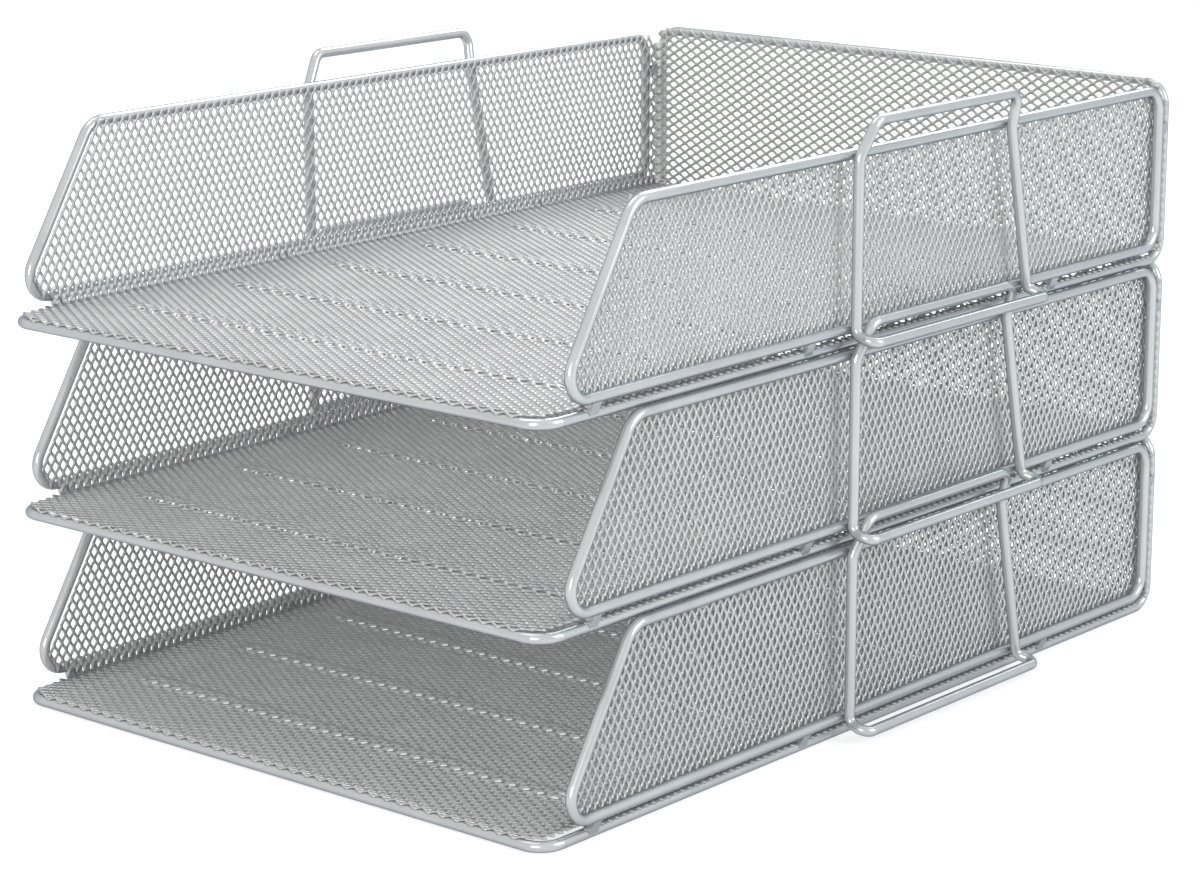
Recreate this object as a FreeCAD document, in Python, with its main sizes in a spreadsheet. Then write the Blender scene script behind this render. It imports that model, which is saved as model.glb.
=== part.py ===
import FreeCAD, Part
import math
import os
import Sketcher

# Three-tier wire document tray.
# Each tray is an open-fronted basket of folded mesh sheet, carried by a bent
# perimeter wire and by a wire frame on each side. A closed wire bracket on each
# side ends above the tray in a hoop and below it in a foot loop. The foot loops
# of an upper tray drop over the hoops of the tray below.
#
# Frame: +X to the right, +Y to the rear, +Z up, in millimetres. The origin is on
# the table, midway between the sides and midway between front and rear.
# Inside a tray, Y counts from the centre of the front wire and Z from the centre
# of the base wires. The placement of each piece takes it from there to its tier.

Vector = FreeCAD.Vector
TIERS = ("bottom", "middle", "top")
SIDES = (("left", -1), ("right", 1))

DIMENSIONS = {
    # Wire and sheet stock, and the gap left where welded pieces meet
    "wire_diameter": 3.8,
    "sheet_thickness": 0.8,
    "weld_gap": 0.05,
    # Tray outline
    "outer_width": 250.0,
    "tray_depth": 355.0,
    "base_inset": 2.5,
    "base_corner_radius": 8.0,
    "rear_bend_radius": 8.0,
    "rail_corner_radius": 9.0,
    "rail_rise": 1.9,
    # Side frame
    "frame_foot": 5.8,
    "frame_height": 58.8,
    "slope_foot": 4.0,
    "slope_run": 36.4,
    "rear_setback": 8.0,
    "frame_corner_radius": 8.0,
    "slope_corner_radius": 10.0,
    # Mesh basket
    "bend_radius": 1.8,
    "panel_rise": 0.6,
    "panel_corner_radius": 4.0,
    "rear_panel_cover": 1.4,
    "corner_slit": 2.0,
    "rib_count": 6,
    "rib_width": 11.0,
    "rib_height": 1.0,
    "rib_side_margin": 20.0,
    "rib_front_margin": 36.0,
    "rib_rear_margin": 69.0,
    # Grid of windows that stands for the openings of the mesh
    "window_columns": 12,
    "window_rows": 3,
    "window_bar": 9.0,
    "window_margin": 6.0,
    "window_rib_gap": 5.5,
    # Stacking
    "stack_gap": 0.3,
    # Stacking bracket
    "bracket_lead": 24.9,
    "bracket_span": 90.3,
    "hoop_rise": 11.1,
    "hoop_kick": 2.0,
    "hoop_front_shift": 7.0,
    "hoop_rear_shift": 0.6,
    "hoop_corner_radius": 5.0,
    "kink_drop": 1.0,
    "kink_radius": 6.0,
    "rear_leg_splay": 12.1,
    "foot_height": 2.2,
    "foot_reach": 7.45,
    "foot_front_lead": 0.5,
    "foot_rear_lag": 3.0,
    "front_fold_height": 4.3,
    "rear_fold_height": 4.5,
    "front_fold_radius": 3.2,
    "rear_fold_radius": 3.2,
    "foot_front_radius": 3.6,
    "foot_rear_radius": 3.0,
    # Tabs between side frame and perimeter wire
    "tab_length": 4.0,
    "tab_inner": 0.9,
    "tab_outer": 1.8,
    "tab_front": 22.0,
    "tab_middle": 45.5,
    "tab_rear": 77.0,
    "tab_post_drop": 14.6,
}

# Lengths worked out from the dimensions above
LAYOUT = {
    "wire_radius": "dimensions.wire_diameter / 2",
    "frame_x": "dimensions.outer_width / 2 - wire_radius",
    "base_x": "frame_x - dimensions.base_inset",
    "frame_top": "dimensions.frame_foot + dimensions.frame_height",
    "frame_rear": "dimensions.tray_depth - dimensions.rear_setback",
    "rail_z": "frame_top + dimensions.rail_rise",
    "tier_pitch": "frame_top + sqrt((dimensions.wire_diameter + dimensions.stack_gap) ^ 2"
                  " - dimensions.base_inset ^ 2)",
    # Mesh basket: side panels, floor, bends and rear panel
    "panel_face": "frame_x - wire_radius - dimensions.weld_gap",
    "panel_inner": "panel_face - dimensions.sheet_thickness",
    "panel_top": "frame_top + dimensions.panel_rise",
    "floor_under": "wire_radius + dimensions.weld_gap",
    "floor_top": "floor_under + dimensions.sheet_thickness",
    "bend_x": "panel_face - dimensions.bend_radius",
    "bend_z": "floor_under + dimensions.bend_radius",
    "rear_face": "dimensions.tray_depth - wire_radius - dimensions.weld_gap",
    "rear_inner": "rear_face - dimensions.sheet_thickness",
    "rear_bend_y": "rear_face - dimensions.bend_radius",
    "rear_top": "rail_z + dimensions.rear_panel_cover",
    "rear_half": "panel_inner - dimensions.corner_slit",
    "floor_joint": "min(frame_rear; rear_bend_y) - dimensions.sheet_thickness",
    # Waste outside the sloped front edge and the rounded rear corner of the side panels
    "waste_front": "dimensions.sheet_thickness",
    "waste_top": "panel_top + dimensions.sheet_thickness",
    "slope_low_y": "dimensions.slope_foot"
                   " + (bend_z - dimensions.frame_foot) * dimensions.slope_run / dimensions.frame_height",
    "slope_high_y": "dimensions.slope_foot"
                    " + (waste_top - dimensions.frame_foot) * dimensions.slope_run / dimensions.frame_height",
    "waste_rear": "frame_rear + dimensions.sheet_thickness",
    "corner_y": "frame_rear - dimensions.panel_corner_radius",
    "corner_z": "panel_top - dimensions.panel_corner_radius",
    # Ribs across the floor: outer skin and the hollow under it
    "rib_half": "panel_inner - dimensions.rib_side_margin",
    "rib_end": "rib_half - dimensions.rib_width / 2",
    "rib_front": "dimensions.rib_front_margin - dimensions.rib_width / 2",
    "rib_back": "dimensions.rib_front_margin + dimensions.rib_width / 2",
    "rib_root": "floor_under + dimensions.sheet_thickness / 2",
    "rib_skin": "dimensions.rib_height + dimensions.sheet_thickness / 2",
    "hollow_front": "rib_front + dimensions.sheet_thickness",
    "hollow_back": "rib_back - dimensions.sheet_thickness",
    "rib_run": "dimensions.tray_depth - dimensions.rib_front_margin - dimensions.rib_rear_margin",
    # Windows: columns across the floor and the rear panel, one row of the floor's between two ribs
    "window_half": "panel_inner - dimensions.window_margin",
    "window_width": "(2 * window_half - (dimensions.window_columns - 1) * dimensions.window_bar)"
                    " / dimensions.window_columns",
    "window_inner": "window_half - window_width",
    "window_run": "2 * window_half - window_width",
    "floor_window_front": "rib_back + dimensions.window_rib_gap",
    "floor_window_back": "rib_front + rib_run / (dimensions.rib_count - 1) - dimensions.window_rib_gap",
    # Windows: columns along the side panels, and the rows up the side and rear panels
    "side_window_front": "dimensions.slope_foot + dimensions.slope_run + dimensions.window_margin",
    "side_window_end": "frame_rear - dimensions.window_margin",
    "side_window_width": "(side_window_end - side_window_front"
                         " - (dimensions.window_columns - 1) * dimensions.window_bar)"
                         " / dimensions.window_columns",
    "side_window_back": "side_window_front + side_window_width",
    "side_window_run": "side_window_end - side_window_back",
    "window_low": "bend_z + dimensions.window_margin",
    "window_end": "panel_top - dimensions.window_margin",
    "window_height": "(window_end - window_low - (dimensions.window_rows - 1) * dimensions.window_bar)"
                     " / dimensions.window_rows",
    "window_high": "window_low + window_height",
    "window_rise": "window_end - window_high",
    "window_depth": "2 * dimensions.sheet_thickness",
    "rear_middle": "(rear_face + rear_inner) / 2",
    # Stacking bracket
    "leg_x": "frame_x + dimensions.wire_diameter + dimensions.weld_gap",
    "hoop_x": "leg_x + dimensions.hoop_kick",
    "foot_x": "leg_x + dimensions.foot_reach",
    "front_leg_y": "dimensions.tray_depth / 2 - dimensions.bracket_lead",
    "rear_leg_y": "front_leg_y + dimensions.bracket_span",
    "hoop_z": "frame_top + dimensions.hoop_rise",
    "kink_z": "frame_top - dimensions.kink_drop",
}

doc = FreeCAD.newDocument("document_tray")
sheet = doc.addObject("Spreadsheet::Sheet", "dimensions")
for row, (alias, size) in enumerate(DIMENSIONS.items(), start=1):
    sheet.set(f"A{row}", alias)
    sheet.set(f"B{row}", str(size))
    sheet.setAlias(f"B{row}", alias)
doc.recompute()

layout = doc.addObject("App::VarSet", "layout")
for name, expression in LAYOUT.items():
    layout.addProperty("App::PropertyFloat", name, "Layout")
    layout.setExpression(name, expression)
doc.recompute()


def length(name):
    """Value of a driving or worked-out length; a leading minus mirrors it."""
    if name.startswith("-"):
        return -length(name[1:])
    if name in DIMENSIONS:
        return float(sheet.get(name))
    return getattr(layout, name)


def formula(name):
    """Expression that binds a size to the same length."""
    if name.startswith("-"):
        return "-" + formula(name[1:])
    return f"dimensions.{name}" if name in DIMENSIONS else f"layout.{name}"


def place(piece, tier):
    """Moves a piece from the tray's own axes to its tier of the stack."""
    piece.setExpression("Placement.Base.y", "-dimensions.tray_depth / 2")
    piece.setExpression("Placement.Base.z", f"layout.wire_radius + {TIERS.index(tier)} * layout.tier_pitch")


# Bent wires

def bent_loop(corners):
    """Centre line round a loop, its ends butted between the last and the first corner."""
    bends = []
    for index, (corner, radius) in enumerate(corners):
        back = (corners[index - 1][0] - corner).normalize()
        ahead = (corners[(index + 1) % len(corners)][0] - corner).normalize()
        half_angle = back.getAngle(ahead) / 2
        setback = radius / math.tan(half_angle)
        inward = (back + ahead).normalize()
        middle = corner + inward * (radius / math.sin(half_angle) - radius)
        bends.append((corner + back * setback, middle, corner + ahead * setback))
    first = bends[0][0]
    last = bends[-1][2]
    weld = (first + last) / 2
    half_gap = (first - last).normalize() * length("weld_gap") / 2
    edges = []
    reached = weld + half_gap
    for start, middle, end in bends:
        edges.append(Part.LineSegment(reached, start).toShape())
        edges.append(Part.Arc(start, middle, end).toShape())
        reached = end
    edges.append(Part.LineSegment(reached, weld - half_gap).toShape())
    return Part.Wire(edges)


def add_wire(name, tier, corners):
    """A round wire bent into a loop and welded end to end."""
    path = doc.addObject("Part::Feature", name + "_path")
    path.Shape = bent_loop(corners)
    first = path.Shape.Edges[0]
    section = doc.addObject("Part::Circle", name + "_section")
    section.setExpression("Radius", formula("wire_radius"))
    tangent = first.tangentAt(first.FirstParameter)
    turn = FreeCAD.Rotation(Vector(0, 0, 1), tangent)
    section.Placement = FreeCAD.Placement(first.valueAt(first.FirstParameter), turn)
    wire = doc.addObject("Part::Sweep", name)
    wire.Label = name
    wire.Sections = [section]
    wire.Spine = (path, [f"Edge{number}" for number in range(1, len(path.Shape.Edges) + 1)])
    wire.Solid = True
    wire.Frenet = False
    place(wire, tier)
    return wire


def perimeter_corners():
    """Front edge, both base edges, up the rear corners and across the rear top."""
    side = length("base_x")
    rear = length("tray_depth")
    rail = length("rail_z")
    base = length("base_corner_radius")
    bend = length("rear_bend_radius")
    top = length("rail_corner_radius")
    return [
        (Vector(-side, rear, rail), top),
        (Vector(-side, rear, 0), bend),
        (Vector(-side, 0, 0), base),
        (Vector(side, 0, 0), base),
        (Vector(side, rear, 0), bend),
        (Vector(side, rear, rail), top),
    ]


def side_frame_corners(sign):
    """Upright loop with a sloped front edge, beside the mesh panel."""
    side = sign * length("frame_x")
    low = length("frame_foot")
    high = length("frame_top")
    rear = length("frame_rear")
    bend = length("frame_corner_radius")
    front = length("slope_foot")
    return [
        (Vector(side, front, low), bend),
        (Vector(side, front + length("slope_run"), high), length("slope_corner_radius")),
        (Vector(side, rear, high), bend),
        (Vector(side, rear, low), bend),
    ]


def bracket_corners(sign):
    """Hoop at the top, two legs outside the side frame, foot loop folded outward."""
    leg = sign * length("leg_x")
    hoop = sign * length("hoop_x")
    foot = sign * length("foot_x")
    front = length("front_leg_y")
    rear = length("rear_leg_y")
    hoop_front = front + length("hoop_front_shift")
    hoop_rear = rear + length("hoop_rear_shift")
    rear_foot = rear + length("rear_leg_splay")
    kink_height = length("kink_z")
    bar = length("hoop_z")
    sole = length("foot_height")
    kink = length("kink_radius")
    return [
        (Vector(foot, front - length("foot_front_lead"), sole), length("foot_front_radius")),
        (Vector(leg, front, length("front_fold_height")), length("front_fold_radius")),
        (Vector(leg, front, kink_height), kink),
        (Vector(hoop, hoop_front, bar), length("hoop_corner_radius")),
        (Vector(hoop, hoop_rear, bar), length("hoop_corner_radius")),
        (Vector(leg, rear, kink_height), kink),
        (Vector(leg, rear_foot, length("rear_fold_height")), length("rear_fold_radius")),
        (Vector(foot, rear_foot + length("foot_rear_lag"), sole), length("foot_rear_radius")),
    ]


# Tabs that tie a side frame to the perimeter wire

def add_tab(name, start, finish, along, sign):
    """Short bar from one wire's centre to the other's, flush with their outer side."""
    reach = finish - start
    rise = Vector(reach).normalize()
    across = along.cross(rise)
    tab = doc.addObject("Part::Box", name)
    tab.setExpression("Length", "dimensions.tab_inner + dimensions.tab_outer")
    tab.setExpression("Width", "dimensions.tab_length")
    tab.Height = reach.Length
    inner_edge = length("tab_inner") if sign > 0 else length("tab_outer")
    corner = start - across * inner_edge - along * (length("tab_length") / 2)
    tab.Placement = FreeCAD.Placement(corner, FreeCAD.Rotation(across, along, rise, "ZXY"))
    return tab


def add_wire_room(name, start, finish):
    """Round room for a straight wire, with the weld gap all round it."""
    room = doc.addObject("Part::Cylinder", name)
    room.setExpression("Radius", "layout.wire_radius + dimensions.weld_gap")
    room.Height = (finish - start).Length
    room.Placement = FreeCAD.Placement(start, FreeCAD.Rotation(Vector(0, 0, 1), finish - start))
    return room


def add_panel_room(name, sign):
    """Room for the upright mesh panel and the bend under it."""
    upright = doc.addObject("Part::Box", f"{name}_upright")
    upright.setExpression("Length", "layout.panel_face + dimensions.weld_gap")
    upright.setExpression("Width", "layout.frame_rear")
    upright.setExpression("Height", "layout.panel_top - layout.bend_z")
    reach = length("panel_face") + length("weld_gap")
    upright.Placement.Base = Vector(min(0, sign * reach), 0, length("bend_z"))
    bend = doc.addObject("Part::Cylinder", f"{name}_bend")
    bend.setExpression("Radius", "dimensions.bend_radius + dimensions.weld_gap")
    bend.setExpression("Height", "layout.frame_rear")
    centre = Vector(sign * length("bend_x"), 0, length("bend_z"))
    bend.Placement = FreeCAD.Placement(centre, FreeCAD.Rotation(Vector(0, 0, 1), Vector(0, 1, 0)))
    return [upright, bend]


def add_fuse(name, shapes):
    fuse = doc.addObject("Part::MultiFuse", name)
    fuse.Shapes = shapes
    return fuse


def add_tabs(name, tier, sign):
    """Three tabs along the base and one at the rear corner, coped to wires and mesh."""
    base_x = sign * length("base_x")
    frame_x = sign * length("frame_x")
    low = length("frame_foot")
    rear = length("tray_depth")
    frame_rear = length("frame_rear")
    top = length("frame_top")
    stations = (length("tab_front"), rear / 2 - length("tab_middle"), rear - length("tab_rear"))
    tabs = []
    for number, station in enumerate(stations, start=1):
        start = Vector(base_x, station, 0)
        finish = Vector(frame_x, station, low)
        tabs.append(add_tab(f"{name}_base_{number}", start, finish, Vector(0, 1, 0), sign))
    height = top - length("tab_post_drop")
    start = Vector(base_x, rear, height)
    finish = Vector(frame_x, frame_rear, height)
    tabs.append(add_tab(f"{name}_post", start, finish, Vector(0, 0, 1), sign))
    rooms = [
        add_wire_room(f"{name}_base_room", Vector(base_x, 0, 0), Vector(base_x, rear, 0)),
        add_wire_room(f"{name}_frame_room", Vector(frame_x, 0, low), Vector(frame_x, rear, low)),
        add_wire_room(f"{name}_post_room", Vector(base_x, rear, 0), Vector(base_x, rear, top)),
        add_wire_room(f"{name}_rear_room", Vector(frame_x, frame_rear, low), Vector(frame_x, frame_rear, top)),
    ]
    rooms += add_panel_room(f"{name}_panel_room", sign)
    coped = doc.addObject("Part::Cut", name)
    coped.Label = name
    coped.Base = add_fuse(f"{name}_blanks", tabs)
    coped.Tool = add_fuse(f"{name}_rooms", rooms)
    place(coped, tier)
    return coped


# Mesh basket

def origin_feature(body, role):
    return next(feature for feature in body.Origin.OriginFeatures if feature.Role == role)


def draw(body, name, role, outline):
    """Closed outline through corners at named lengths, counter-clockwise.

    Each corner is (across, up, centre): centre is None where a straight line
    leads to the next corner, and the centre of the bend where an arc does.
    """
    sketch = body.newObject("Sketcher::SketchObject", name)
    sketch.AttachmentSupport = (origin_feature(body, role), [""])
    sketch.MapMode = "FlatFace"
    ends = []
    for index, (across, up, centre) in enumerate(outline):
        following = outline[(index + 1) % len(outline)]
        start = Vector(length(across), length(up), 0)
        end = Vector(length(following[0]), length(following[1]), 0)
        if centre is None:
            sketch.addGeometry(Part.LineSegment(start, end), False)
            ends.append((1, 2))
            continue
        middle = Vector(length(centre[0]), length(centre[1]), 0)
        first = math.atan2(start.y - middle.y, start.x - middle.x)
        last = math.atan2(end.y - middle.y, end.x - middle.x)
        clockwise = (last - first) % (2 * math.pi) > math.pi + 0.001
        circle = Part.Circle(middle, Vector(0, 0, 1), (start - middle).Length)
        if clockwise:
            first, last = last, first
        sketch.addGeometry(Part.ArcOfCircle(circle, first, last), False)
        ends.append((2, 1) if clockwise else (1, 2))
    for index, (across, up, centre) in enumerate(outline):
        previous = (index - 1) % len(outline)
        begin = ends[index][0]
        sketch.addConstraint(Sketcher.Constraint("Coincident", previous, ends[previous][1], index, begin))
        bind(sketch, "DistanceX", index, begin, across)
        bind(sketch, "DistanceY", index, begin, up)
        if centre is not None:
            bind(sketch, "DistanceX", index, 3, centre[0])
    return sketch


def bind(sketch, kind, geometry, point, name):
    """Holds a point of the outline at a named length from the sketch's origin."""
    number = sketch.addConstraint(Sketcher.Constraint(kind, -1, 1, geometry, point, length(name)))
    sketch.setExpression(f"Constraints[{number}]", formula(name))


def folded_profile():
    """Floor and both side panels seen from the front, as one bent strip."""
    outer = ("bend_x", "bend_z")
    mirrored = ("-bend_x", "bend_z")
    return [
        ("-panel_face", "panel_top", None),
        ("-panel_face", "bend_z", mirrored),
        ("-bend_x", "floor_under", None),
        ("bend_x", "floor_under", outer),
        ("panel_face", "bend_z", None),
        ("panel_face", "panel_top", None),
        ("panel_inner", "panel_top", None),
        ("panel_inner", "bend_z", outer),
        ("bend_x", "floor_top", None),
        ("-bend_x", "floor_top", mirrored),
        ("-panel_inner", "bend_z", None),
        ("-panel_inner", "panel_top", None),
    ]


def rear_profile():
    """Rear end of the floor and the rear panel, seen from the side."""
    bend = ("rear_bend_y", "bend_z")
    return [
        ("floor_joint", "floor_under", None),
        ("rear_bend_y", "floor_under", bend),
        ("rear_face", "bend_z", None),
        ("rear_face", "rear_top", None),
        ("rear_inner", "rear_top", None),
        ("rear_inner", "bend_z", bend),
        ("rear_bend_y", "floor_top", None),
        ("floor_joint", "floor_top", None),
    ]


def slope_waste():
    """What the sloped front edge leaves out of the side panels."""
    return [
        ("-waste_front", "bend_z", None),
        ("slope_low_y", "bend_z", None),
        ("slope_high_y", "waste_top", None),
        ("-waste_front", "waste_top", None),
    ]


def corner_waste():
    """What the rounded rear corner leaves out of the side panels."""
    return [
        ("waste_rear", "corner_z", None),
        ("waste_rear", "waste_top", None),
        ("corner_y", "waste_top", None),
        ("corner_y", "panel_top", ("corner_y", "corner_z")),
        ("frame_rear", "corner_z", None),
    ]


def rib_outline(front, back):
    """Slot with round ends across the floor."""
    return [
        ("-rib_end", front, None),
        ("rib_end", front, ("rib_end", "rib_front_margin")),
        ("rib_end", back, None),
        ("-rib_end", back, ("-rib_end", "rib_front_margin")),
    ]


def add_pad(body, name, sketch, size, reverse=False, symmetric=False):
    pad = body.newObject("PartDesign::Pad", name)
    pad.Profile = (sketch, [""])
    pad.setExpression("Length", size)
    pad.Reversed = reverse
    if symmetric:
        pad.SideType = "Symmetric"
    return pad


def add_trim(body, name, sketch):
    """Cuts an outline through both side panels."""
    trim = body.newObject("PartDesign::Pocket", name)
    trim.Profile = (sketch, [""])
    trim.SideType = "Symmetric"
    trim.setExpression("Length", "dimensions.outer_width")
    return trim


def window_outline(left, right, low, high):
    return [
        (left, low, None),
        (right, low, None),
        (right, high, None),
        (left, high, None),
    ]


def add_windows(body, name, sketch, depth):
    """First window of a grid, cut to both sides of its sketch."""
    window = body.newObject("PartDesign::Pocket", name)
    window.Profile = (sketch, [""])
    window.SideType = "Symmetric"
    window.setExpression("Length", depth)
    grid = body.newObject("PartDesign::LinearPattern", f"{name}_grid")
    grid.Originals = [window]
    grid.setExpression("Occurrences", "dimensions.window_columns")
    return grid


def spread(grid, body, columns, column_run, rows, row_run):
    """Directions and lengths over which a grid repeats its window."""
    grid.Direction = (origin_feature(body, columns), [""])
    grid.setExpression("Length", column_run)
    grid.Direction2 = (origin_feature(body, rows), [""])
    grid.setExpression("Length2", row_run)
    body.Tip = grid


def add_floor_windows(body, name):
    outline = window_outline("-window_half", "-window_inner", "floor_window_front", "floor_window_back")
    sketch = draw(body, f"{name}_floor_window_outline", "XY_Plane", outline)
    sketch.setExpression("AttachmentOffset.Base.z", "layout.rib_root")
    grid = add_windows(body, f"{name}_floor_window", sketch, "layout.window_depth")
    spread(grid, body, "X_Axis", "layout.window_run", "Y_Axis", "layout.rib_run")
    grid.setExpression("Occurrences2", "dimensions.rib_count")


def add_rear_windows(body, name):
    outline = window_outline("-window_half", "-window_inner", "window_low", "window_high")
    sketch = draw(body, f"{name}_rear_window_outline", "XZ_Plane", outline)
    sketch.setExpression("AttachmentOffset.Base.z", "-layout.rear_middle")
    grid = add_windows(body, f"{name}_rear_window", sketch, "layout.window_depth")
    spread(grid, body, "X_Axis", "layout.window_run", "Z_Axis", "layout.window_rise")
    grid.setExpression("Occurrences2", "dimensions.window_rows")


def add_side_windows(body, name):
    """The same windows through both side panels."""
    outline = window_outline("side_window_front", "side_window_back", "window_low", "window_high")
    sketch = draw(body, f"{name}_side_window_outline", "YZ_Plane", outline)
    grid = add_windows(body, f"{name}_side_window", sketch, "dimensions.outer_width")
    spread(grid, body, "Y_Axis", "layout.side_window_run", "Z_Axis", "layout.window_rise")
    grid.setExpression("Occurrences2", "dimensions.window_rows")


def add_basket(name, tier):
    """Mesh folded into a floor, two side panels and a rear panel, with pressed ribs."""
    body = doc.addObject("PartDesign::Body", name)
    body.Label = name
    folded = draw(body, f"{name}_folded_profile", "XZ_Plane", folded_profile())
    add_pad(body, f"{name}_floor_and_sides", folded, "layout.frame_rear", reverse=True)
    rear = draw(body, f"{name}_rear_profile", "YZ_Plane", rear_profile())
    add_pad(body, f"{name}_rear_panel", rear, "2 * layout.rear_half", symmetric=True)
    slope = draw(body, f"{name}_slope_outline", "YZ_Plane", slope_waste())
    add_trim(body, f"{name}_sloped_front", slope)
    corner = draw(body, f"{name}_corner_outline", "YZ_Plane", corner_waste())
    add_trim(body, f"{name}_rounded_corner", corner)
    add_floor_windows(body, name)
    add_rear_windows(body, name)
    add_side_windows(body, name)
    skin = draw(body, f"{name}_rib_outline", "XY_Plane", rib_outline("rib_front", "rib_back"))
    skin.setExpression("AttachmentOffset.Base.z", "layout.rib_root")
    rib = add_pad(body, f"{name}_rib", skin, "layout.rib_skin")
    under = draw(body, f"{name}_hollow_outline", "XY_Plane", rib_outline("hollow_front", "hollow_back"))
    under.setExpression("AttachmentOffset.Base.z", "layout.floor_under")
    hollow = body.newObject("PartDesign::Pocket", f"{name}_rib_hollow")
    hollow.Profile = (under, [""])
    hollow.setExpression("Length", "dimensions.rib_height")
    hollow.Reversed = True
    ribs = body.newObject("PartDesign::LinearPattern", f"{name}_ribs")
    ribs.Originals = [rib, hollow]
    ribs.Direction = (origin_feature(body, "Y_Axis"), [""])
    ribs.setExpression("Length", "layout.rib_run")
    ribs.setExpression("Occurrences", "dimensions.rib_count")
    body.Tip = ribs
    place(body, tier)
    return body


pieces = []
for tier in TIERS:
    pieces.append(add_basket(f"{tier}_mesh_basket", tier))
    pieces.append(add_wire(f"{tier}_perimeter_wire", tier, perimeter_corners()))
    for side, sign in SIDES:
        pieces.append(add_wire(f"{tier}_{side}_side_frame", tier, side_frame_corners(sign)))
        pieces.append(add_wire(f"{tier}_{side}_stacking_bracket", tier, bracket_corners(sign)))
        pieces.append(add_tabs(f"{tier}_{side}_frame_tabs", tier, sign))
doc.recompute()

for item in doc.Objects:
    if "Invalid" in item.State or "Error" in item.State:
        raise RuntimeError(f"{item.Name} failed: {item.State}")
for piece in pieces:
    if piece.Shape.isNull() or not piece.Shape.isValid():
        raise RuntimeError(f"{piece.Label} has no valid shape")

os.makedirs("parts", exist_ok=True)
for piece in pieces:
    piece.Shape.exportStep(f"parts/{piece.Label}.step")
    print(piece.Label, len(piece.Shape.Solids), "solids", round(piece.Shape.Volume, 1), "mm3")
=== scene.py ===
import math

import bpy
import numpy as np
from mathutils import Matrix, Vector


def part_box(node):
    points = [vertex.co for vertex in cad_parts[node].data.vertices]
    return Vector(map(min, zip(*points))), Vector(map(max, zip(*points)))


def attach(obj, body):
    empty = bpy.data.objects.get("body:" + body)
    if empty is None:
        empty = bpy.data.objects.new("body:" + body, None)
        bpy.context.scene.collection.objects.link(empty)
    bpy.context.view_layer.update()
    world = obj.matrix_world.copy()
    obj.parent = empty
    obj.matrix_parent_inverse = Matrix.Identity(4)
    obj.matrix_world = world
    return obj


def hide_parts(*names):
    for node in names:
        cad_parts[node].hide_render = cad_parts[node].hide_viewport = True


# Three-tier wire document tray: silver painted wire, and sheets of expanded metal
# folded into baskets. Lengths are in metres, with +X right, +Y to the rear and +Z up.

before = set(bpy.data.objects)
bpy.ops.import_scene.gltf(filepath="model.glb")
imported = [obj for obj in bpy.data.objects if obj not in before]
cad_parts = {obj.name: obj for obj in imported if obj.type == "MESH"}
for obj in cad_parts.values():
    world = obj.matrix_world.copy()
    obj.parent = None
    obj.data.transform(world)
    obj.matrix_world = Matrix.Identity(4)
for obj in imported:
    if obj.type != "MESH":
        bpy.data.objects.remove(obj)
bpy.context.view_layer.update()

MM = 0.001
TIERS = ("bottom", "middle", "top")
WIRE_RADIUS = 1.9 * MM

# Places of the bottom tray, and the step from tray to tray, read from the frame
basket_low, basket_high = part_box("bottom_mesh_basket")
perimeter_low, perimeter_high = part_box("bottom_perimeter_wire")
side_low, side_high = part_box("bottom_right_side_frame")
TIER_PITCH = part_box("middle_perimeter_wire")[0].z - perimeter_low.z
FRONT_WIRE_Y = perimeter_low.y + WIRE_RADIUS
FRAME_LOW_Z = side_low.z + WIRE_RADIUS
FRAME_TOP_Z = side_high.z - WIRE_RADIUS

# Sloped front of the side frames, with a rounded foot
SLOPE_SETBACK = 4.0 * MM
SLOPE_RUN = 36.4 * MM
FOOT_RADIUS = 8.0 * MM
SLOPE_FOOT_Y = FRONT_WIRE_Y + SLOPE_SETBACK
SLOPE_ANGLE = math.atan2(FRAME_TOP_Z - FRAME_LOW_Z, SLOPE_RUN)
FOOT_TANGENT = FOOT_RADIUS / math.tan(SLOPE_ANGLE / 2)
FOOT_TOP_Z = FRAME_LOW_Z + FOOT_TANGENT * math.sin(SLOPE_ANGLE)

# Expanded metal: the long way of a diamond runs along X, and up the side panels
LONG_PITCH_AIM = 6.05 * MM
SHORT_PITCH_AIM = 3.70 * MM
STRAND_THICKNESS = 0.48 * MM

# A knuckle, where strands meet: half of its long way, of its ends and of its flat edges
KNUCKLE_LONG = 1.15 * MM
KNUCKLE_END = 0.12 * MM
KNUCKLE_FLAT = 0.30 * MM

# Half the short way of a knuckle, and the lift of its rear edge, which slants the strands
FLOOR_KNUCKLE = (0.56 * MM, 0.22 * MM)
PANEL_KNUCKLE = (0.70 * MM, -0.12 * MM)
REAR_KNUCKLE = (0.82 * MM, 0.10 * MM)

# Parts of a sheet that are pieces of their own, each with its kind of knuckle
PARTS = {
    "floor_front": FLOOR_KNUCKLE,
    "floor_rear": FLOOR_KNUCKLE,
    "left_panel": PANEL_KNUCKLE,
    "right_panel": PANEL_KNUCKLE,
    "rear_panel": REAR_KNUCKLE,
}
KNUCKLES = np.array(list(PARTS.values()))
NO_PART = -1
NO_KNUCKLE = -1

# The sheet's middle surface, folded up at both sides and at the rear
SHEET_DEPTH = 0.8 * MM
SHEET_INSET = 0.3 * MM
BEND_RADIUS = 1.4 * MM
BEND_ARC = BEND_RADIUS * math.pi / 2
FLOOR_Z = basket_low.z + SHEET_DEPTH / 2 + SHEET_INSET
SIDE_BEND = basket_high.x - SHEET_DEPTH / 2 - SHEET_INSET - BEND_RADIUS
REAR_BEND = basket_high.y - SHEET_DEPTH / 2 - SHEET_INSET - BEND_RADIUS
BEND_TOP_Z = FLOOR_Z + BEND_RADIUS

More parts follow.
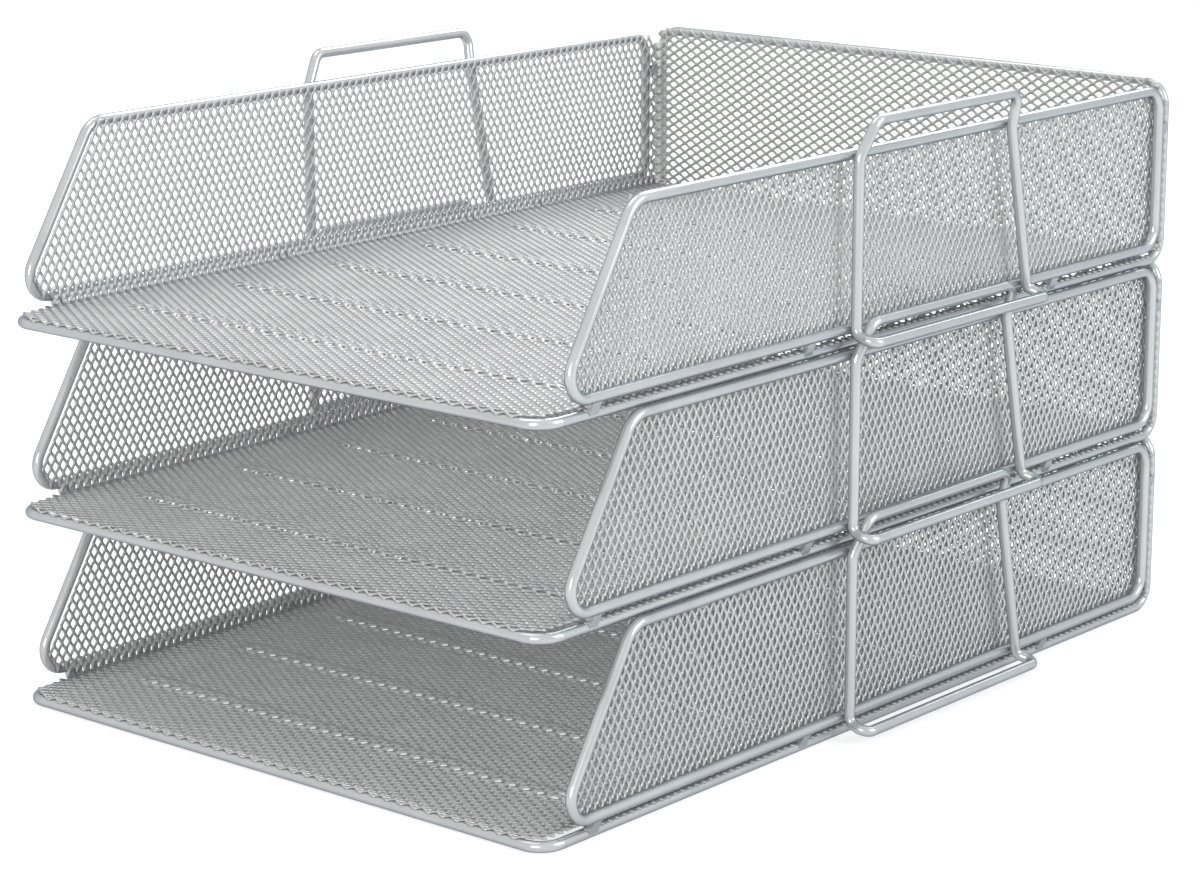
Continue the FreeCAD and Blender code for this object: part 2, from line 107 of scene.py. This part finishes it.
# The front edge wraps over the base wire, on an ellipse with this reach and this fall
WRAP_LENGTH = 2.3 * MM
WRAP_INSET = 0.3 * MM
WRAP_REACH = WIRE_RADIUS - WRAP_INSET
WRAP_FALL = FLOOR_Z - perimeter_low.z - WIRE_RADIUS

# How far the panels reach past the centres of the wires at their edges
TOP_COVER = 1.0 * MM
SLOPE_COVER = 0.9 * MM
REAR_COVER = 1.4 * MM
SIDE_PANEL_TOP = FRAME_TOP_Z + TOP_COVER

# Half the width of the rear panel, which stands between the side panels
REAR_HALF = 121.4 * MM

# Front corners of the floor, which follow the base wire
FRONT_CORNER_RADIUS = 8.0 * MM
FRONT_CORNER_X = perimeter_high.x - WIRE_RADIUS - FRONT_CORNER_RADIUS
FRONT_CORNER_Y = FRONT_WIRE_Y + FRONT_CORNER_RADIUS

# Rear top corners of the side panels
SIDE_CORNER_RADIUS = 7.0 * MM
SIDE_CORNER_Y = REAR_BEND - SIDE_CORNER_RADIUS
SIDE_CORNER_Z = SIDE_PANEL_TOP - SIDE_CORNER_RADIUS

# Top corners of the rear panel, which follow the rear rail and lie over it
RAIL_CORNER_RADIUS = 9.0 * MM
RAIL_CORNER_X = perimeter_high.x - WIRE_RADIUS - RAIL_CORNER_RADIUS
RAIL_CORNER_Z = perimeter_high.z - WIRE_RADIUS - RAIL_CORNER_RADIUS
REAR_CORNER_RADIUS = RAIL_CORNER_RADIUS + REAR_COVER

# Cut ends of the sheet, lying over the outer half of the base wires at the sides
HEM_SIDES = {"left_panel": -1, "right_panel": 1}
HEM_INSET = 1.25 * MM
HEM_RISE = 3.72 * MM
HEM_X = perimeter_high.x - HEM_INSET
HEM_Z = perimeter_low.z + HEM_RISE
HEM_FALL = 0.42 * MM
HEM_HALF = 0.95 * MM
HEM_CLEARANCE = 4.5 * MM

# Ribs pressed across the floor
RIB_COUNT = 6
RIB_WIDTH = 10.0 * MM
RIB_HEIGHT = 0.95 * MM
RIB_RAMP = RIB_WIDTH / 3
RIB_END_RAMP = RIB_WIDTH / 2
RIB_HALF_LENGTH = 100.35 * MM
RIB_SETBACK = 36.0 * MM
RIB_STEP = 50.0 * MM
RIB_FIRST = FRONT_WIRE_Y + RIB_SETBACK

# The floor is two pieces, one behind the other
FLOOR_FRONT_LENGTH = 175.0 * MM
FLOOR_SPLIT_Y = FRONT_WIRE_Y + FLOOR_FRONT_LENGTH

# Knuckles are larger by these shares: along the side bends, fading out over a reach, and on
# the front ramps of the ribs, found by the climb of the floor over a short span
BEND_CROWDING = 1.25
BEND_REACH = 7.0 * MM
RIB_CROWDING = 0.45
CLIMB_HALF_SPAN = 1.4 * MM

# The pitches are fitted so that the flat sheet has a row of knuckles along each of its edges
SHEET_FRONT = FRONT_WIRE_Y - WRAP_LENGTH
SHEET_HALF_WIDTH = SIDE_BEND + BEND_ARC + SIDE_PANEL_TOP - KNUCKLE_LONG - BEND_TOP_Z
SHEET_REAR = REAR_BEND + BEND_ARC + basket_high.z - REAR_KNUCKLE[0] - BEND_TOP_Z
HALF_COLUMNS = round(SHEET_HALF_WIDTH / (LONG_PITCH_AIM / 2))
ROWS = round((SHEET_REAR - SHEET_FRONT) / (SHORT_PITCH_AIM / 2))
LONG_STEP = SHEET_HALF_WIDTH / HALF_COLUMNS
SHORT_STEP = (SHEET_REAR - SHEET_FRONT) / ROWS

# Paint: the scales of its noises, the stretch of a noise that its ramps use, how the clouds
# change tone and roughness, and the slants where the painted rim shade begins and is full
CLOUD_SCALE = 60.0
FLAKE_SCALE = 5200.0
PEEL_SCALE = 1400.0
PEEL_DEPTH = 0.05 * MM
NOISE_RANGE = (0.3, 0.7)
CLOUD_TONES = (0.95, 1.03)
CLOUD_ROUGHNESS = 0.05
PAINTED_RIM_RANGE = (0.30, 0.85)
SPECULAR_TINT = (0.45, 0.50, 0.55)
WHITE = (1.0, 1.0, 1.0)

# The floor and the world look white where they are seen, and light the tray less than that
FLOOR_SIZE = 30.0
FLOOR_COLOUR = (0.50, 0.50, 0.50)
FLOOR_GLOW = 0.66
WORLD_SEEN = 1.0
WORLD_LIGHT = 0.57

# The lamps point at a place near the middle of the stack
LAMP_TARGET = Vector((0, 0, 0.1))

# The photograph's view: 40 degrees round to the right, 13.84 degrees above the horizon
CAMERA_AZIMUTH = math.radians(40.0)
CAMERA_ELEVATION = math.radians(13.84)
CAMERA_DISTANCE = 1.300
CAMERA_TARGET = Vector((-0.0136, 0.0098, 0.0767))
SENSOR_WIDTH = 36.0
FOCAL_PIXELS = 3516.0
PHOTO_WIDTH = 1200.0


# Materials

def new_material(name):
    material = bpy.data.materials.new(name)
    material.use_nodes = True
    return material, material.node_tree.nodes, material.node_tree.links


def noise(nodes, links, scale, detail):
    place = nodes.new("ShaderNodeTexCoord")
    texture = nodes.new("ShaderNodeTexNoise")
    texture.inputs["Scale"].default_value = scale
    texture.inputs["Detail"].default_value = detail
    links.new(place.outputs["Object"], texture.inputs["Vector"])
    return texture.outputs["Fac"]


def ramp(nodes, links, source, stretch, colours):
    """Blend of two colours over a stretch of a value."""
    node = nodes.new("ShaderNodeValToRGB")
    for element, position, colour in zip(node.color_ramp.elements, stretch, colours):
        element.position = position
        element.color = (*colour, 1.0)
    links.new(source, node.inputs["Fac"])
    return node.outputs["Color"]


def multiply(nodes, links, first, second):
    mixed = nodes.new("ShaderNodeMix")
    mixed.data_type = "RGBA"
    mixed.blend_type = "MULTIPLY"
    mixed.inputs["Factor"].default_value = 1.0
    links.new(first, mixed.inputs["A"])
    links.new(second, mixed.inputs["B"])
    return mixed.outputs["Result"]


def shades(colour, factors):
    return [tuple(channel * factor for channel in colour) for factor in factors]


def silver_paint(name, colour, metallic, roughness, flake, bump, painted_rim_colour):
    """Sprayed silver paint: fine flakes, faint clouds, a slight orange peel and painted rim shade.
    """
    material, nodes, links = new_material(name)
    shader = nodes["Principled BSDF"]
    shader.inputs["Metallic"].default_value = metallic
    shader.inputs["Specular Tint"].default_value = (*SPECULAR_TINT, 1)

    clouds = noise(nodes, links, CLOUD_SCALE, detail=3.0)
    flakes = noise(nodes, links, FLAKE_SCALE, detail=1.0)
    # Painted rim shade: the colour darkens towards the rim colour where the surface slants away, a
    # painted dark reflection
    slant = nodes.new("ShaderNodeLayerWeight").outputs["Facing"]
    tone = ramp(nodes, links, clouds, NOISE_RANGE, shades(colour, CLOUD_TONES))
    glint = ramp(nodes, links, flakes, NOISE_RANGE, shades(WHITE, (1 - flake, 1 + flake)))
    painted_rim_shade = ramp(nodes, links, slant, PAINTED_RIM_RANGE, (WHITE, painted_rim_colour))
    speckled = multiply(nodes, links, tone, glint)
    links.new(multiply(nodes, links, speckled, painted_rim_shade), shader.inputs["Base Color"])

    extremes = (roughness - CLOUD_ROUGHNESS, roughness + CLOUD_ROUGHNESS)
    gloss = ramp(nodes, links, clouds, NOISE_RANGE, shades(WHITE, extremes))
    links.new(gloss, shader.inputs["Roughness"])

    relief = nodes.new("ShaderNodeBump")
    relief.inputs["Strength"].default_value = bump
    relief.inputs["Distance"].default_value = PEEL_DEPTH
    links.new(noise(nodes, links, PEEL_SCALE, detail=2.0), relief.inputs["Height"])
    links.new(relief.outputs["Normal"], shader.inputs["Normal"])
    return material


# Both paints darken towards their rim colour at a slant: painted shade standing in for reflected
# dark surroundings
wire_paint = silver_paint(
    "wire_paint",
    colour=(0.56, 0.575, 0.575),
    metallic=0.50,
    roughness=0.20,
    flake=0.03,
    bump=0.10,
    painted_rim_colour=(0.40, 0.47, 0.53),
)
mesh_paint = silver_paint(
    "mesh_paint",
    colour=(0.54, 0.545, 0.53),
    metallic=0.45,
    roughness=0.34,
    flake=0.06,
    bump=0.15,
    painted_rim_colour=(0.80, 0.83, 0.86),
)


def repaint(piece, material):
    piece.data.materials.clear()
    piece.data.materials.append(material)


# Sheets of expanded metal

# A knuckle is an octagon. Each corner has a place along the sheet's long way, and one across
# it that is a fixed length plus a share of half the knuckle's short way.
CORNERS_LONG = np.array([
    KNUCKLE_LONG, KNUCKLE_LONG, KNUCKLE_FLAT, -KNUCKLE_FLAT,
    -KNUCKLE_LONG, -KNUCKLE_LONG, -KNUCKLE_FLAT, KNUCKLE_FLAT,
])
CORNERS_END = np.array([-KNUCKLE_END, KNUCKLE_END, 0, 0, KNUCKLE_END, -KNUCKLE_END, 0, 0])
CORNERS_SHARE = np.array([0, 0, 1, 1, 0, 0, -1, -1])
CORNER_COUNT = len(CORNERS_LONG)
AROUND = np.arange(CORNER_COUNT)

# A knuckle has a top and a bottom octagon
POINTS_EACH = 2 * CORNER_COUNT

# First corner of the slanted edge that faces each diagonal neighbour, by column and row step
NEIGHBOURS = {(1, 1): 1, (-1, 1): 3, (-1, -1): 5, (1, -1): 7}

# Corners of a strand's top face, by the same steps: one of this knuckle, two of its
# neighbour and one more of this knuckle. Strands to the left are the neighbours' own.
STRANDS = {(1, 1): (1, 6, 5, 2), (1, -1): (7, 4, 3, 0)}


def smooth_step(value):
    value = np.clip(value, 0, 1)
    return value * value * (3 - 2 * value)


def rib_lift(u, v):
    """Height of the pressed ribs over the flat floor."""
    number = np.clip(np.round((v - RIB_FIRST) / RIB_STEP), 0, RIB_COUNT - 1)
    off_centre = np.abs(v - RIB_FIRST - number * RIB_STEP)
    across = smooth_step((RIB_WIDTH / 2 - off_centre) / RIB_RAMP)
    along = smooth_step((RIB_HALF_LENGTH - np.abs(u)) / RIB_END_RAMP)
    return RIB_HEIGHT * across * along


def front_edge(height):
    """Centre of the side frame's wire at a height: its sloped front, or the foot below it."""
    share = (height - FRAME_LOW_Z) / (FRAME_TOP_Z - FRAME_LOW_Z)
    slope = SLOPE_FOOT_Y + share * SLOPE_RUN
    off_centre = np.clip(FRAME_LOW_Z + FOOT_RADIUS - height, -FOOT_RADIUS, FOOT_RADIUS)
    rounded = SLOPE_FOOT_Y + FOOT_TANGENT - np.sqrt(FOOT_RADIUS ** 2 - off_centre ** 2)
    return np.where(height < FOOT_TOP_Z, rounded, slope)


def off_corner(outward, upward):
    """Distance from the centre of a rounded top corner, counted only outward and upward."""
    return np.hypot(np.maximum(outward, 0), np.maximum(upward, 0))


def part_of_sheet(u, v):
    """Which part a point of the flat sheet lies on: its number in PARTS, or NO_PART."""
    off_middle = np.abs(u)
    over_side = off_middle - SIDE_BEND
    over_rear = v - REAR_BEND
    side_z = BEND_TOP_Z + over_side - BEND_ARC
    rear_z = BEND_TOP_Z + over_rear - BEND_ARC

    on_floor = (over_side <= 0) & (over_rear <= 0)
    in_front_corner = (off_middle >= FRONT_CORNER_X) & (v <= FRONT_CORNER_Y)
    off_centre = np.hypot(off_middle - FRONT_CORNER_X, v - FRONT_CORNER_Y)
    on_floor &= ~in_front_corner | (off_centre < FRONT_CORNER_RADIUS)

    on_side = (over_side > 0) & (over_rear <= 0) & (v > front_edge(side_z) - SLOPE_COVER)
    on_side &= off_corner(v - SIDE_CORNER_Y, side_z - SIDE_CORNER_Z) < SIDE_CORNER_RADIUS

    on_rear = (over_rear > 0) & (off_middle < REAR_HALF)
    on_rear &= off_corner(off_middle - RAIL_CORNER_X, rear_z - RAIL_CORNER_Z) <= REAR_CORNER_RADIUS

    inside = [
        on_floor & (v < FLOOR_SPLIT_Y),
        on_floor & (v >= FLOOR_SPLIT_Y),
        on_side & (u < 0),
        on_side & (u > 0),
        on_rear,
    ]
    return np.select(inside, range(len(PARTS)), default=NO_PART)


def bend_up(over, lift):
    """Reach and rise of a point folded up at an edge that it lies past by a length."""
    angle = np.clip(over / BEND_RADIUS, 0, math.pi / 2)
    reach = (BEND_RADIUS - lift) * np.sin(angle)
    rise = BEND_RADIUS - lift - (BEND_RADIUS - lift) * np.cos(angle)
    rise += np.maximum(over - BEND_ARC, 0)
    return reach, rise


def fold(u, v, lift):
    """Place in the tray of a point of the flat sheet, lifted to its inner side."""
    over_side = np.where(v > REAR_BEND, 0, np.abs(u) - SIDE_BEND)
    side_reach, side_rise = bend_up(over_side, lift)
    rear_reach, rear_rise = bend_up(v - REAR_BEND, lift)
    wrap = np.maximum(FRONT_WIRE_Y - v, 0) / WRAP_FALL
    x = np.sign(u) * (np.abs(u) - np.maximum(over_side, 0) + side_reach)
    y = np.clip(v, FRONT_WIRE_Y, REAR_BEND) + rear_reach - (WRAP_REACH + lift) * np.sin(wrap)
    z = FLOOR_Z + lift + side_rise + rear_rise - (WRAP_FALL + lift) * (1 - np.cos(wrap))
    return np.stack([x, y, z], axis=-1)


def flat_place(column, row):
    return column * LONG_STEP, SHEET_FRONT + row * SHORT_STEP


def lattice():
    """Column, row and part of each place for a knuckle; every second half step has none."""
    columns = np.arange(-HALF_COLUMNS, HALF_COLUMNS + 1)
    column, row = np.meshgrid(columns, np.arange(ROWS + 1), indexing="ij")
    part = part_of_sheet(*flat_place(column, row))
    part[(column + row + HALF_COLUMNS) % 2 == 1] = NO_PART
    return column, row, part


def knuckle_size(u, v):
    """Size of a knuckle as a share of a plain one."""
    off_bend = np.abs(np.abs(u) - SIDE_BEND - BEND_ARC / 2)
    behind_corner = smooth_step((v - FRONT_CORNER_Y) / BEND_REACH)
    climb = rib_lift(u, v + CLIMB_HALF_SPAN) - rib_lift(u, v - CLIMB_HALF_SPAN)
    size = 1 + BEND_CROWDING * smooth_step(1 - off_bend / BEND_REACH) * behind_corner
    return size + RIB_CROWDING * (np.maximum(climb, 0) / RIB_HEIGHT)


def knuckle_points(u, v, part):
    """Points of the folded knuckles: each one's top corners, then its bottom corners."""
    half, slant = KNUCKLES[part].T[:, :, None]
    size = knuckle_size(u, v)[:, None]
    across = CORNERS_END + CORNERS_SHARE * half
    corner_u = u[:, None] + CORNERS_LONG * size
    corner_v = v[:, None] + across * size
    lift = slant * across / half + rib_lift(corner_u, corner_v)
    top = fold(corner_u, corner_v, lift + STRAND_THICKNESS / 2)
    bottom = fold(corner_u, corner_v, lift - STRAND_THICKNESS / 2)
    return np.concatenate([top, bottom], axis=1).reshape(-1, 3)


def underside(top_faces):
    return top_faces[:, ::-1] + CORNER_COUNT


def walls(tails, heads):
    """Faces from the top edge to the bottom edge, seen from outside."""
    return np.stack([tails + CORNER_COUNT, heads + CORNER_COUNT, heads, tails], axis=1)


def expanded_sheet():
    """Points of one tray's sheet, and its faces with the part that each belongs to."""
    column, row, part = lattice()
    kept = part != NO_PART
    parts = part[kept]
    points = knuckle_points(*flat_place(column[kept], row[kept]), parts)
    first_point = np.full(part.shape, NO_KNUCKLE)
    first_point[kept] = np.arange(len(parts)) * POINTS_EACH
    base = first_point[kept]

    octagons = base[:, None] + AROUND
    faces = [(octagons, parts), (underside(octagons), parts)]
    for corner in range(0, CORNER_COUNT, 2):
        faces.append((walls(base + corner, base + corner + 1), parts))

    padded = np.pad(first_point, 1, constant_values=NO_KNUCKLE)
    for step, corner in NEIGHBOURS.items():
        column_step, row_step = step
        shifted = np.roll(padded, (-column_step, -row_step), (0, 1))
        neighbour = shifted[1:-1, 1:-1][kept]
        free = neighbour == NO_KNUCKLE
        tails = base[free] + corner
        heads = base[free] + (corner + 1) % CORNER_COUNT
        faces.append((walls(tails, heads), parts[free]))
        if step in STRANDS:
            start, far, near, end = STRANDS[step]
            first = base[~free]
            second = neighbour[~free]
            strands = np.stack([first + start, second + far, second + near, first + end], axis=1)
            for group in (
                strands,
                underside(strands),
                walls(strands[:, 0], strands[:, 1]),
                walls(strands[:, 2], strands[:, 3]),
            ):
                faces.append((group, parts[~free]))
    return points, faces


def hem(side):
    """Points and faces of the cut ends along one side's base wire; side is -1 or 1."""
    rows = np.arange(HALF_COLUMNS % 2, ROWS + 1, 2)
    v = flat_place(0, rows)[1]
    v = v[(v > SLOPE_FOOT_Y + FOOT_TANGENT) & (v < REAR_BEND - HEM_CLEARANCE)]
    y = v[:, None] + CORNERS_END + CORNERS_SHARE * HEM_HALF
    x = np.broadcast_to(HEM_X + CORNERS_LONG, y.shape)
    z = HEM_Z - HEM_FALL * (x - HEM_X) / KNUCKLE_LONG
    top = np.stack([side * x, y, z + STRAND_THICKNESS / 2], axis=-1)
    bottom = np.stack([side * x, y, z - STRAND_THICKNESS / 2], axis=-1)
    points = np.concatenate([top, bottom], axis=1).reshape(-1, 3)
    base = np.arange(len(v))[:, None] * POINTS_EACH
    octagons = base + AROUND
    heads = base + (AROUND + 1) % CORNER_COUNT
    faces = [octagons, underside(octagons), walls(octagons.ravel(), heads.ravel())]
    return points, [face[:, ::side] for face in faces]


def make_mesh(name, points, groups):
    """Mesh from points and groups of faces; the faces of a group have equally many corners."""
    used = np.unique(np.concatenate([group.ravel() for group in groups]))
    renumber = np.zeros(len(points), dtype=np.int64)
    renumber[used] = np.arange(len(used))
    corners = np.concatenate([renumber[group].ravel() for group in groups])
    totals = np.concatenate([np.full(len(group), group.shape[1]) for group in groups])
    starts = np.concatenate([[0], np.cumsum(totals)[:-1]])
    mesh = bpy.data.meshes.new(name)
    mesh.vertices.add(len(used))
    mesh.vertices.foreach_set("co", points[used].astype(np.float32).ravel())
    mesh.loops.add(len(corners))
    mesh.loops.foreach_set("vertex_index", corners.astype(np.int32))
    mesh.polygons.add(len(totals))
    mesh.polygons.foreach_set("loop_start", starts.astype(np.int32))
    mesh.polygons.foreach_set("loop_total", totals.astype(np.int32))
    mesh.update(calc_edges=True)
    return mesh


def add_piece(name, mesh, material, body):
    piece = bpy.data.objects.new(name, mesh)
    bpy.context.scene.collection.objects.link(piece)
    repaint(piece, material)
    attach(piece, body)
    return piece


def add_baskets():
    """One folded sheet for each tray, in as many pieces as it has parts."""
    sheet_points, sheet_faces = expanded_sheet()
    for index, part in enumerate(PARTS):
        points = sheet_points
        groups = [group[parts == index] for group, parts in sheet_faces]
        groups = [group for group in groups if len(group)]
        if part in HEM_SIDES:
            ends, end_faces = hem(HEM_SIDES[part])
            groups += [face + len(points) for face in end_faces]
            points = np.concatenate([points, ends])
        for tier_number, tier in enumerate(TIERS):
            raised = points + np.array([0, 0, tier_number * TIER_PITCH])
            mesh = make_mesh(f"{tier}_{part}", raised, groups)
            piece = add_piece(f"{tier}_{part}", mesh, mesh_paint, f"{tier}_tray")
            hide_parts(f"{tier}_mesh_basket")


add_baskets()

# Wire pieces keep their solids and get the wire's paint
for name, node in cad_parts.items():
    if not name.endswith("mesh_basket"):
        repaint(node, wire_paint)


# Floor, light and camera

def seen_directly(nodes, links):
    """1 for rays from the camera, and from glossy and clear surfaces; else 0."""
    path = nodes.new("ShaderNodeLightPath")
    seen = path.outputs["Is Camera Ray"]
    for other in ("Is Glossy Ray", "Is Transmission Ray"):
        either = nodes.new("ShaderNodeMath")
        either.operation = "MAXIMUM"
        links.new(seen, either.inputs[0])
        links.new(path.outputs[other], either.inputs[1])
        seen = either.outputs["Value"]
    return seen


def add_floor():
    bpy.ops.mesh.primitive_plane_add(size=FLOOR_SIZE, location=(0, 0, 0))
    floor = bpy.context.active_object
    floor.name = "studio_floor"
    material, nodes, links = new_material("studio_floor")
    nodes.remove(nodes["Principled BSDF"])
    diffuse = nodes.new("ShaderNodeBsdfDiffuse")
    diffuse.inputs["Color"].default_value = (*FLOOR_COLOUR, 1)
    glow = nodes.new("ShaderNodeEmission")
    glow.inputs["Color"].default_value = (*WHITE, 1)
    strength = nodes.new("ShaderNodeMath")
    strength.operation = "MULTIPLY"
    strength.inputs[1].default_value = FLOOR_GLOW
    links.new(seen_directly(nodes, links), strength.inputs[0])
    links.new(strength.outputs["Value"], glow.inputs["Strength"])
    total = nodes.new("ShaderNodeAddShader")
    links.new(diffuse.outputs["BSDF"], total.inputs[0])
    links.new(glow.outputs["Emission"], total.inputs[1])
    links.new(total.outputs["Shader"], nodes["Material Output"].inputs["Surface"])
    repaint(floor, material)


def set_world():
    world = bpy.data.worlds.new("studio")
    bpy.context.scene.world = world
    world.use_nodes = True
    nodes, links = world.node_tree.nodes, world.node_tree.links
    background = nodes["Background"]
    background.inputs["Color"].default_value = (*WHITE, 1)
    strength = nodes.new("ShaderNodeMapRange")
    strength.inputs["To Min"].default_value = WORLD_LIGHT
    strength.inputs["To Max"].default_value = WORLD_SEEN
    links.new(seen_directly(nodes, links), strength.inputs["Value"])
    links.new(strength.outputs["Result"], background.inputs["Strength"])


def add_lamp(name, place, size, power, colour):
    """Square lamp that faces the tray."""
    lamp = bpy.data.lights.new(name, "AREA")
    lamp.shape = "SQUARE"
    lamp.size = size
    lamp.energy = power
    lamp.color = colour
    holder = bpy.data.objects.new(name, lamp)
    bpy.context.scene.collection.objects.link(holder)
    holder.location = place
    direction = LAMP_TARGET - Vector(place)
    holder.rotation_euler = direction.to_track_quat("-Z", "Y").to_euler()


def add_camera():
    camera = bpy.data.cameras.new("photo_camera")
    camera.sensor_width = SENSOR_WIDTH
    camera.lens = FOCAL_PIXELS / PHOTO_WIDTH * SENSOR_WIDTH
    holder = bpy.data.objects.new("photo_camera", camera)
    bpy.context.scene.collection.objects.link(holder)
    away = Vector((
        math.sin(CAMERA_AZIMUTH) * math.cos(CAMERA_ELEVATION),
        -math.cos(CAMERA_AZIMUTH) * math.cos(CAMERA_ELEVATION),
        math.sin(CAMERA_ELEVATION),
    ))
    holder.location = CAMERA_TARGET + away * CAMERA_DISTANCE
    holder.rotation_euler = (-away).to_track_quat("-Z", "Y").to_euler()
    bpy.context.scene.camera = holder


bpy.context.scene.view_settings.view_transform = "Standard"
add_floor()
set_world()
add_lamp("key", place=(-0.35, 1.4, 1.45), size=1.2, power=26.0, colour=(1.0, 0.995, 0.98))
add_lamp("top", place=(-0.5, -0.1, 1.8), size=1.0, power=9.0, colour=WHITE)
add_lamp("fill", place=(1.5, 0.5, 0.8), size=0.9, power=12.0, colour=(0.86, 0.94, 1.0))
add_lamp("front", place=(0.7, -1.8, 0.6), size=0.8, power=12.0, colour=WHITE)
add_camera()
